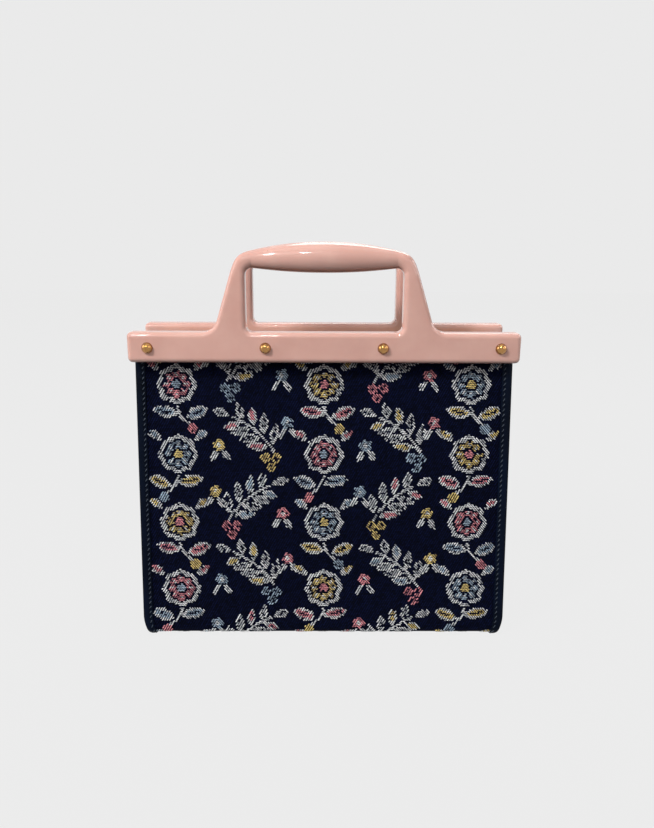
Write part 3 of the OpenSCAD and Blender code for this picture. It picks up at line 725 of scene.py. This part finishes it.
def floret(u, v, tint):
    """A small flower with five petals over two leaves."""
    r, turn = np.hypot(u, v), np.arctan2(v, u)
    mark = np.full(u.shape, NONE)
    for angle, x in ((-128, -1.5), (-62, 1.5)):
        mark[leaf_at(u, v, angle, (x, -3.6), 9.0, 4.4)[0] > 0] = IVORY
    mark[r < 4.6 * (0.66 + 0.34 * np.abs(np.cos(2.5 * turn)))] = tint
    mark[r < 1.4] = IVORY
    return mark


def design(x, down):
    """The yarn at each place of a panel, and how its floats slant, from -1 to 1.

    Down is measured from the bar's lower edge. The floats slant to both sides of a motif.
    """
    tints = (GOLD, ROSE, SLATE)
    mark, slant = np.full(x.shape, NONE), np.zeros(x.shape)
    for column in range(-3, 4):
        for row in range(-1, 6):
            flip = -1 if row % 2 else 1
            first = SPRIG_ROW if column % 2 else BLOSSOM_ROW
            u, v = (x - column * COLUMN) * flip, ROWS * (row + first) - down
            tint, other, third = (tints[(row + column + i) % 3] for i in range(3))
            if column % 2:
                c, s = math.cos(SPRIG_TURN), math.sin(SPRIG_TURN)
                a, b = u * c + v * s, v * c - u * s
                layers = [(sprig(a, b, tint, other), b / 4)]
                for (fu, fv), colour in zip(FLORETS, (third, tint)):
                    layers.append((floret(u - fu, v - fv, colour), (fu - u) / 3))
            else:
                layers = [(blossom(u, v, tint, other), -u / 7)]
            for layer, side in layers:
                mark = np.where(layer != NONE, layer, mark)
                slant = np.where(layer != NONE, np.clip(side, -1, 1) * flip, slant)
    return mark, slant


# Places of the floats: the weave's own rows, over each panel and round its bend
STRIP_W = 6.6
STRIP_GAP, BAR_GAP, BEND_SHARE = 0.4, 0.8, 0.85
DIM_MISSING, MISSING = 0.38, 0.03  # shares of the floats that stay on the cloth's other face

chance = np.random.default_rng(7)
top_run, panel_run, bend_run, _ = run_lengths(0)
rows = np.arange(0, (panel_run + BEND_SHARE * bend_run) / ROW)
spots = np.arange(-78, 79)
down, across = np.meshgrid((rows + 0.5) * ROW, (spots + 0.5) * PITCH, indexing="ij")
across = across - (STEP * rows[:, None]) % PITCH
keep = (np.abs(across) < BODY_W / 2 - STRIP_W - STRIP_GAP) & (down > BAR_GAP)
across, down = across[keep], down[keep]
yarn_here, slant_here = design(across, down)
dim_here = yarn_here >= DIM
yarn_here = np.where(dim_here, yarn_here - DIM, yarn_here)
missing = chance.random(len(across)) < np.where(dim_here, DIM_MISSING, MISSING)
yarn_here[missing] = NONE

# One float as a short pillow: two rings of four points between two pointed ends
FLOAT_L, FLOAT_W, FLOAT_H = 1.95, 0.82, 0.36
FLOAT_LIFT, LEAST_SLANT = 0.02, 0.25
section = [(-0.5, 0.0), (-0.25, 1.0), (0.25, 1.0), (0.5, 0.0)]
pillow = np.array([(-0.5, 0.0, 0.0)] + [(at, w, h) for at in (-0.27, 0.27) for w, h in section]
                  + [(0.5, 0.0, 0.0)]) * (FLOAT_L, FLOAT_W, FLOAT_H)
pillow_faces = []
for j in range(4):
    k = (j + 1) % 4
    pillow_faces += [(0, 1 + j, 1 + k), (1 + j, 5 + j, 5 + k, 1 + k), (5 + j, 9, 5 + k)]


def float_mesh(x, s, slant, dim, turned_back):
    """Points of all the floats at these places, and their shades."""
    n = len(x)
    size = chance.uniform(0.9, 1.12, (n, 1))
    lean = np.where(slant < 0, slant - LEAST_SLANT, slant + LEAST_SLANT)
    angle = SLANT * lean[:, None] + chance.normal(0, 0.09, (n, 1))
    a, w = pillow[:, 0] * size, pillow[:, 1] * chance.uniform(0.88, 1.1, (n, 1))
    px = x[:, None] + a * np.cos(angle) - w * np.sin(angle)
    ps = s[:, None] - (a * np.sin(angle) + w * np.cos(angle))
    if turned_back:
        px, ps = -px, 2 * HALF_RUN - ps
    points = on_bag(px.ravel(), ps.ravel(), np.tile(pillow[:, 2], n) + FLOAT_LIFT)
    # Soft patches of light and dark about 15 mm across, as the yarn lies looser and tighter
    patch = 0.85 + 0.15 * (np.sin(0.43 * x + 0.9 * np.sin(0.21 * s))
                           * np.sin(0.37 * s + 1.1 * np.sin(0.19 * x)))
    shade = chance.beta(1.7, 0.7, n) * patch * np.where(dim, 0.4, 1.0)
    return points, np.repeat(shade, len(pillow))


# Viscose yarn: soft and slightly shiny, each float its own shade, with a twist of 0.4 mm
TWIST = 0.417
YARNS = {"ivory": ("#666c74", "#ffffff"), "gold": ("#6a4f16", "#ffe48e"),
         "rose": ("#601e30", "#ffa2aa"), "slate": ("#1a2a3c", "#b6ccdf")}

for code, (name, (dull, bright)) in enumerate(YARNS.items()):
    yarn, tree, face, place = new_material(f"{name}_viscose_yarn", {
        "Roughness": 0.6, "Sheen Weight": 0.1})
    own = add(tree, "ShaderNodeAttribute", attribute_name="shade")
    tone = add(tree, "ShaderNodeMix", data_type="RGBA", links={0: own.outputs["Fac"]},
               values={TONE_A: linear(dull), TONE_B: linear(bright)})
    twist = add(tree, "ShaderNodeTexNoise", values={"Scale": per_metre(TWIST), "Detail": 2.0},
                links={"Vector": place})
    light = add(tree, "ShaderNodeMapRange", values={"To Min": 0.82, "To Max": 1.12},
                links={"Value": twist.outputs["Fac"]})
    shaded = add(tree, "ShaderNodeVectorMath", operation="SCALE",
                 links={0: tone.outputs[MIXED], "Scale": light.outputs[0]})
    tree.links.new(shaded.outputs[0], face.inputs["Base Color"])
    bump = add(tree, "ShaderNodeBump", values={"Strength": 0.3, "Distance": 0.0001},
               links={"Height": twist.outputs["Fac"]})
    tree.links.new(bump.outputs[0], face.inputs["Normal"])

    here = yarn_here == code
    at = np.arange(int(here.sum()))[:, None] * len(pillow)
    faces = [row for f in pillow_faces for row in (np.array(f) + at).tolist()]
    for side, turned_back in (("front", False), ("back", True)):
        points, shades = float_mesh(across[here], top_run + down[here], slant_here[here],
                                    dim_here[here], turned_back)
        floats = piece(f"{name}_yarn_{side}", points, faces, yarn, f"{name}_yarn")
        layer = floats.data.attributes.new("shade", "FLOAT", "POINT")
        layer.data.foreach_set("value", shades.astype(np.float32))
        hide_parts(f"{name}_floats")


# Edge strips
# Leather strips, cut narrow and stitched over the cloth's side edges. The stitches lie in
# a shallow groove near the inner edge, and paint seals the cut edge outside.

# Smooth calf leather, navy: fine grain about 0.7 mm across, creases 3 mm apart and a soft
# gloss on top
GRAIN, CREASE, CLOUDY = 0.667, 3.125, 33.3

leather, tree, face, place = new_material("navy_calf_leather", {"Specular IOR Level": 0.05})
pores = add(tree, "ShaderNodeTexVoronoi", values={"Scale": per_metre(GRAIN)},
            links={"Vector": place})
crease = add(tree, "ShaderNodeTexNoise", values={"Scale": per_metre(CREASE), "Detail": 5.0},
             links={"Vector": place})
cloudy = add(tree, "ShaderNodeTexNoise", values={"Scale": per_metre(CLOUDY), "Detail": 3.0},
             links={"Vector": place})
spread = add(tree, "ShaderNodeMapRange", values={"From Min": 0.3, "From Max": 0.72},
             links={"Value": cloudy.outputs["Fac"]})
tone = add(tree, "ShaderNodeMix", data_type="RGBA", links={0: spread.outputs[0]},
           values={TONE_A: linear("#020712"), TONE_B: linear("#061024")})
tree.links.new(tone.outputs[MIXED], face.inputs["Base Color"])
grain = add(tree, "ShaderNodeMath", operation="MULTIPLY_ADD", values={1: 0.6},
            links={0: crease.outputs["Fac"], 2: pores.outputs["Distance"]})
bump = add(tree, "ShaderNodeBump", values={"Strength": 0.5, "Distance": 0.0004},
           links={"Height": grain.outputs[0]})
tree.links.new(bump.outputs[0], face.inputs["Normal"])
gloss = add(tree, "ShaderNodeMapRange", values={"To Min": 0.3, "To Max": 0.42},
            links={"Value": crease.outputs["Fac"]})
tree.links.new(gloss.outputs[0], face.inputs["Roughness"])

STITCH, STITCH_AT = 3.5, 0.27  # the stitches' pitch, and their place across the strip
STEPS_PER_STITCH = 8
GROOVE_W, GROOVE_DEEP = 0.08, 0.62
PUCKER_OFF, PUCKER_W, PUCKER_H = 0.1, 0.07, 0.16
# The strip's section: shares of its width from the inner edge, and heights over the cloth
STRIP_SECTION = np.array([
    (0.00, 0.05), (0.03, 0.60), (0.08, 0.98), (0.14, 1.14), (0.20, 1.10),
    (0.245, 0.94), (0.295, 0.94), (0.35, 1.12), (0.44, 1.26), (0.56, 1.33),
    (0.68, 1.33), (0.80, 1.25), (0.90, 1.06), (0.97, 0.74), (1.00, 0.30)])

strip_top = top_run + 0.1
strip_run = 2 * HALF_RUN - 2 * strip_top
stitches = int(strip_run / STITCH)
stitch_step = strip_run / stitches
strip_s = strip_top + np.linspace(0, strip_run, stitches * STEPS_PER_STITCH + 1)


def strip_place(v, s, out):
    """Points on a strip: v across it from inner to outer edge, at a distance out from the cloth."""
    y, z, ny, nz = around_bag(s)
    x = blend(edge_x(BODY_W / 2 - STRIP_W, DRAW_IN / 2, z), edge_x(BODY_W / 2, DRAW_IN, z), v)
    return np.stack([x, y + ny * out, z + nz * out], -1)


def tube(rings):
    """Points and faces of a closed tube through rings of points, with flat ends."""
    n, m = rings.shape[:2]
    at = np.arange(n * m).reshape(n, m)
    nxt = np.roll(at, -1, 1)
    quads = np.stack([at[:-1], nxt[:-1], nxt[1:], at[1:]], -1).reshape(-1, 4).tolist()
    return rings.reshape(-1, 3), quads + [at[0][::-1].tolist(), at[-1].tolist()]


# The thread pulls the groove down to a hole between stitches, and the leather puckers up
# beside the middle of each stitch
share, height = STRIP_SECTION.T
pull = 0.5 + 0.5 * np.cos(2 * math.pi * (strip_s[:, None] - strip_top) / stitch_step)
groove = np.exp(-((share - STITCH_AT) / GROOVE_W) ** 2)
pucker = np.exp(-((share - STITCH_AT - PUCKER_OFF) / PUCKER_W) ** 2)
heights = height - GROOVE_DEEP * groove * pull + PUCKER_H * pucker * (0.5 - pull)
strip_points, strip_faces = tube(strip_place(share, strip_s[:, None], heights))

# Waxed thread, a little lighter than the leather, with plies about 0.6 mm long
PLY = 0.556
THREAD_R, THREAD_FLAT = 0.36, 0.8
STITCH_SINK, STITCH_RISE, STITCH_SHARE, STITCH_LEAN = 0.62, 0.62, 0.7, 0.26

thread, tree, face, place = new_material("waxed_navy_thread", {"Roughness": 0.5})
ply = add(tree, "ShaderNodeTexNoise", values={"Scale": per_metre(PLY), "Detail": 2.0},
          links={"Vector": place})
tone = add(tree, "ShaderNodeMix", data_type="RGBA", links={0: ply.outputs["Fac"]},
           values={TONE_A: linear("#141d29"), TONE_B: linear("#3a4756")})
tree.links.new(tone.outputs[MIXED], face.inputs["Base Color"])


def stitch_row(lean):
    """All the stitches of one strip. Each crosses a share of the strip's width, lean."""
    t, turn = np.linspace(0, 1, 7)[:, None], np.arange(6) * math.pi / 3
    girth = THREAD_R * np.sin(math.pi * np.clip(t, 0.1, 0.9)) ** 0.35
    v = STITCH_AT + lean * (t - 0.5) + girth * np.cos(turn) / STRIP_W
    lift = STITCH_SINK + STITCH_RISE * np.sin(math.pi * t) ** 0.6
    out = lift + girth * np.sin(turn) * THREAD_FLAT
    points, faces = [], []
    for i in range(stitches):
        s = strip_top + stitch_step * (i + 0.5 + (t - 0.5) * STITCH_SHARE)
        p, f = tube(strip_place(v, s, out))
        faces += [[j + len(points) * len(p) for j in q] for q in f]
        points.append(p)
    return np.concatenate(points), faces


# Edge paint, built up in coats to a round bead over leather, cloth and flange. The coats
# leave low waves about 2 mm long.
PAINT_WAVE = 2.0
BEAD_OUT, BEAD_R, BEAD_AT, BEAD_PROUD = -0.8, 1.75, 0.985, 0.075

paint, tree, face, place = new_material("navy_edge_paint", {"Roughness": 0.3})
coats = add(tree, "ShaderNodeTexNoise", values={"Scale": per_metre(PAINT_WAVE), "Detail": 3.0},
            links={"Vector": place})
tone = add(tree, "ShaderNodeMix", data_type="RGBA", links={0: coats.outputs["Fac"]},
           values={TONE_A: linear("#080c14"), TONE_B: linear("#111925")})
tree.links.new(tone.outputs[MIXED], face.inputs["Base Color"])
bump = add(tree, "ShaderNodeBump", values={"Strength": 0.25, "Distance": 0.0002},
           links={"Height": coats.outputs["Fac"]})
tree.links.new(bump.outputs[0], face.inputs["Normal"])

turn = np.linspace(-math.pi / 2, math.pi / 2, 9)
bead_points, bead_faces = tube(strip_place(BEAD_AT + BEAD_PROUD * np.cos(turn),
                                           strip_s[::3, None], BEAD_OUT + BEAD_R * np.sin(turn)))


def mirrored(points, faces, side):
    """The same piece for one side of the bag: the right as it is, the left mirrored."""
    if side == "right":
        return points, faces
    return points * (-1, 1, 1), [f[::-1] for f in faces]


# The stitches slant the same way on both strips, so the mirrored row starts from the other lean
for side, lean in (("left", STITCH_LEAN), ("right", -STITCH_LEAN)):
    strip = piece(f"{side}_leather_strip", *mirrored(strip_points, strip_faces, side),
                  leather, "navy_leather", sharp=60)
    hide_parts(f"{side}_edge_strip")
    piece(f"{side}_saddle_stitches", *mirrored(*stitch_row(lean), side),
          thread, "navy_leather")
    piece(f"{side}_edge_paint", *mirrored(bead_points, bead_faces, side),
          paint, "navy_leather", sharp=60)


# Gussets
# Soft leather side panels. Each has a flange turned out along its edge, which is stitched
# behind the cloth, and folds inwards towards the mouth.

FLANGE_W, FOLD_IN, FOLD_Z = 5.0, 26.0, 30.0
MOUTH_DIP, DIP_H = 6.0, 30.0
WALL_X = BODY_W / 2 - FLANGE_W
GUSSET_TOP = BAR_Z - 0.5
BEND_ROWS, WALL_ROWS, GUSSET_COLUMNS = 14, 90, 61
EVEN_SHARE = 0.65  # the other columns crowd towards the seams, where the leather bends


def half_depth(inset, z):
    """Half the bag's depth inside the cloth at a height, less an inset."""
    c, r = bend_centre(0), BEND_R - inset
    bend = c[0] + np.sqrt(np.maximum(r * r - (c[1] - z) ** 2, 0))
    panel = CLOTH_Y - inset / math.cos(LEAN) + (BAR_Z - z) * math.tan(LEAN)
    return np.where(z < c[1] + r * math.sin(LEAN), bend, panel)


def gusset_grid(inset, back):
    """A grid of points over one face of a gusset, from the floor to the mouth."""
    c, r = bend_centre(0), BEND_R - inset
    bend = c[1] - r * np.cos((math.pi / 2 + LEAN) * np.arange(BEND_ROWS) / BEND_ROWS)
    wall = np.linspace(c[1] + r * math.sin(LEAN), GUSSET_TOP, WALL_ROWS)
    z = np.concatenate([bend, wall])[:, None]
    even = np.linspace(-1, 1, GUSSET_COLUMNS)[None, :]
    u = blend(np.sin(even * math.pi / 2), even, EVEN_SHARE)
    rise = np.clip((z - FOLD_Z) / (GUSSET_TOP - FOLD_Z), 0, 1)
    fold = FOLD_IN * np.sin(math.pi / 2 * rise) ** 1.5
    crease = np.cos(math.pi / 2 * u) ** 2
    top = np.clip((z - GUSSET_TOP + DIP_H) / DIP_H, 0, 1) ** 2
    # Low waves of the soft leather, none at the seams or near the floor
    soft = 0.5 * np.sin(z / 17 + 2.0 * u) * (1 - u ** 2) * np.clip((z - 12) / 40, 0, 1)
    x = edge_x(WALL_X, DRAW_IN, z) - back - fold * crease - soft
    return np.stack([x, half_depth(inset, z) * u, z - MOUTH_DIP * crease * top], -1)


def flange_rim(points):
    """The flange's outer edge beside these points of the wall."""
    return np.stack([edge_x(BODY_W / 2, DRAW_IN, points[:, 2]), points[:, 1], points[:, 2]], 1)


inner, outer = gusset_grid(CLOTH_T, LEATHER_T), gusset_grid(CLOTH_T + LEATHER_T, 0.0)
size = inner.shape[0] * inner.shape[1]
at = np.arange(size).reshape(inner.shape[:2])
far = at + size
seam = np.concatenate([at[::-1, 0], at[0, 1:], at[1:, -1]])
inner, outer = inner.reshape(-1, 3), outer.reshape(-1, 3)
points = np.concatenate([inner, outer, flange_rim(inner[seam]), flange_rim(outer[seam])])
rim_in = 2 * size + np.arange(len(seam))
rim_out = rim_in + len(seam)
flange_ends = [[seam[0], seam[0] + size, rim_out[0], rim_in[0]],
               [seam[-1], rim_in[-1], rim_out[-1], seam[-1] + size]]
quads = np.concatenate([net(at), net(far, flip=True), ribbon(seam, rim_in),
                        ribbon(rim_out, seam + size), ribbon(rim_in, rim_out),
                        ribbon(at[-1], far[-1]), flange_ends]).tolist()
for side in ("left", "right"):
    gusset = piece(f"{side}_gusset_leather", *mirrored(points, quads, side),
                   leather, "navy_leather", sharp=40)
    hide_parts(f"{side}_gusset")


# Lining and base board
# A sheet of cotton twill, clamped with the cloth at the top and loose inside, over a
# fibre board that keeps the base flat.

# Cotton twill: dark and matt, with ribs at 45 degrees, drawn 1.5 mm apart so that they show
RIB = 1.53
RIB_SCALE = 2 * math.pi / (10 * math.sqrt(2) * RIB)  # a wave texture's slant bands, in mm
LINING_GAP = 0.5
LINING_ACROSS, LINING_ALONG = 60, 150

twill, tree, face, place = new_material("cotton_twill_lining", {"Roughness": 0.8})
uv = add(tree, "ShaderNodeUVMap", uv_map="UVMap")
ribs = add(tree, "ShaderNodeTexWave", bands_direction="DIAGONAL",
           values={"Scale": RIB_SCALE, "Distortion": 0.6, "Detail": 1.0},
           links={"Vector": uv.outputs["UV"]})
tone = add(tree, "ShaderNodeMix", data_type="RGBA", links={0: ribs.outputs["Fac"]},
           values={TONE_A: linear("#1b1d28"), TONE_B: linear("#30333f")})
tree.links.new(tone.outputs[MIXED], face.inputs["Base Color"])
bump = add(tree, "ShaderNodeBump", values={"Strength": 0.4, "Distance": 0.0002},
           links={"Height": ribs.outputs["Fac"]})
tree.links.new(bump.outputs[0], face.inputs["Normal"])

lining_half = sum(run_lengths(BOARD_T))
lining_s = np.linspace(0, 2 * lining_half, LINING_ALONG)
y, z, ny, nz = (v[:, None] for v in around_bag(lining_s, BOARD_T))
half = edge_x(WALL_X - LEATHER_T - LINING_GAP, DRAW_IN, z)
x = np.linspace(-1, 1, LINING_ACROSS)[None, :] * half
loose = slack(x, lining_s[:, None] * HALF_RUN / lining_half)


def lining_face(out):
    """The lining's points at a distance out from the cloth's face."""
    d = out + loose
    return np.stack([x, y + ny * d, z + nz * d], -1)


points, quads = shell(lining_face(-CLOTH_T), lining_face(-CLOTH_T - LINING_T))
lining = piece("lining_sheet", points, quads, twill, "lining_twill", sharp=50)
lay_uv(lining, np.tile(x.ravel(), 2), np.tile(np.repeat(lining_s, LINING_ACROSS), 2))
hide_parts("lining")

# Fibre board: grey and dull, with pressed fibres about 1.4 mm long
FIBRE = 1.43

board, tree, face, place = new_material("grey_fibre_board", {"Roughness": 0.9})
fibres = add(tree, "ShaderNodeTexNoise", values={"Scale": per_metre(FIBRE), "Detail": 4.0},
             links={"Vector": place})
tone = add(tree, "ShaderNodeMix", data_type="RGBA", links={0: fibres.outputs["Fac"]},
           values={TONE_A: linear("#6f6a61"), TONE_B: linear("#97918a")})
tree.links.new(tone.outputs[MIXED], face.inputs["Base Color"])
finish_node("base_board", board)
